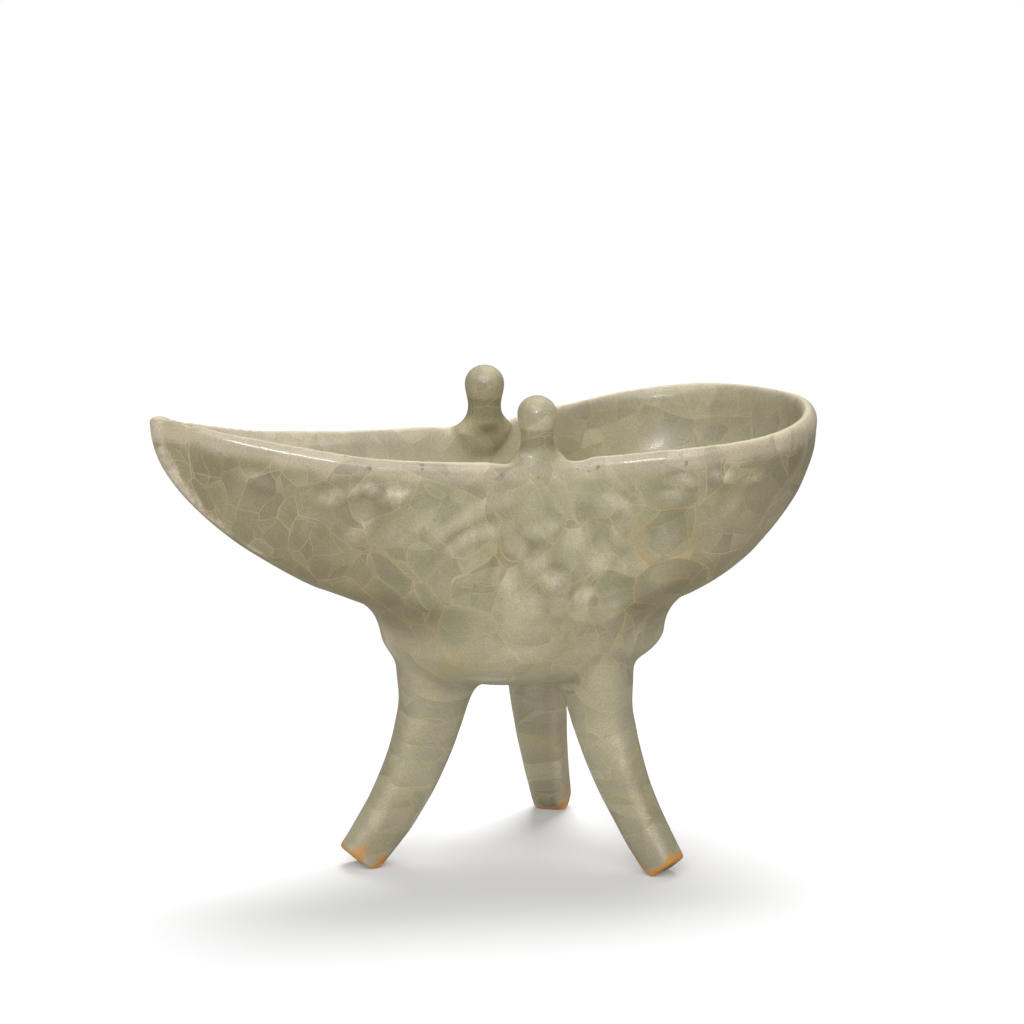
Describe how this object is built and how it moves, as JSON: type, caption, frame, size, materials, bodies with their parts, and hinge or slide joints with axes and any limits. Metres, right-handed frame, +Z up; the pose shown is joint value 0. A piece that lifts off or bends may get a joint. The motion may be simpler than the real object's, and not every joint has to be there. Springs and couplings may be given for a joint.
{
  "type": "jue cup",
  "caption": "Footed libation cup of the jue form, with a pointed tail, a broad spout, knobbed posts on its rim and curved legs, in crackled grey-green celadon.",
  "frame": {"origin": "middle of the cup's box, on the surface that its feet stand on", "axes": "+X along the cup's length to the spout, +Y across it, +Z up"},
  "size_m": [0.1432, 0.0688, 0.1005],
  "materials": {
    "celadon_glaze": "thick glossy grey-green celadon glaze with a cream and ochre crackle, thin and beige on the lip and on raised relief, bare orange clay at the feet's edges"
  },
  "bodies": {
    "root": {"body_front_half": "celadon_glaze", "body_back_half": "celadon_glaze", "tail_leg": "celadon_glaze", "tail_leg_collar": "celadon_glaze", "front_leg": "celadon_glaze", "front_leg_collar": "celadon_glaze", "back_leg": "celadon_glaze", "back_leg_collar": "celadon_glaze", "front_post_saddle": "celadon_glaze", "front_post": "celadon_glaze", "back_post_saddle": "celadon_glaze", "back_post": "celadon_glaze"}
  },
  "joints": []
}
